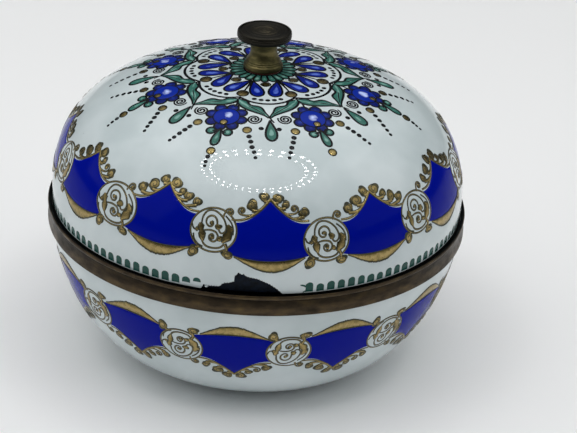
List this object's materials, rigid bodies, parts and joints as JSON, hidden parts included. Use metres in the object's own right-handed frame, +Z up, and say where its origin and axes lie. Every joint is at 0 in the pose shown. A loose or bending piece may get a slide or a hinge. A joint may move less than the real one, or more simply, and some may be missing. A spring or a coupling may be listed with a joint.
{
  "type": "enamelled trinket box",
  "caption": "Round domed box with a lift-off lid: enamelled copper bowl and lid, brass rim with an upright collar, and a turned brass knob; holds small things.",
  "frame": {"origin": "middle of the flat base, on the surface the box stands on", "axes": "+Z up along the box's axis, through the knob; the box is round, and -Y is the front"},
  "size_m": [0.12, 0.12, 0.0962],
  "materials": {
    "outer_enamel": "glossy white vitreous enamel, hand-painted in cobalt, green, black and gold",
    "counter_enamel": "glossy plain pale enamel",
    "copper": "bare oxidised copper sheet",
    "aged_brass": "dull brown patina, rubbed bright on edges",
    "dark_brass": "near-black patina on turned rings",
    "worn_brass": "satin brass worn by handling",
    "cement": "matt lime cement",
    "fibre": "matt pressed fibre"
  },
  "bodies": {
    "bowl": {"bowl_enamel_outside": "outer_enamel", "bowl_copper": "copper", "bowl_enamel_inside": "counter_enamel", "rim_gallery": "worn_brass", "rim_bead": "aged_brass", "rim_band": "aged_brass", "rim_cement": "cement"},
    "lid": {"lid_enamel_outside": "outer_enamel", "lid_copper": "copper", "lid_enamel_inside": "counter_enamel", "knob_head": "dark_brass", "knob_stem": "aged_brass", "knob_seat_washer": "fibre", "knob_fibre_washer": "fibre", "knob_brass_washer": "worn_brass", "knob_screw": "worn_brass"}
  },
  "joints": [
    {"name": "lid_lift", "type": "slide", "parent": "bowl", "child": "lid", "axis": [0, 0, 1], "range_m": [0, 0.06]}
  ]
}
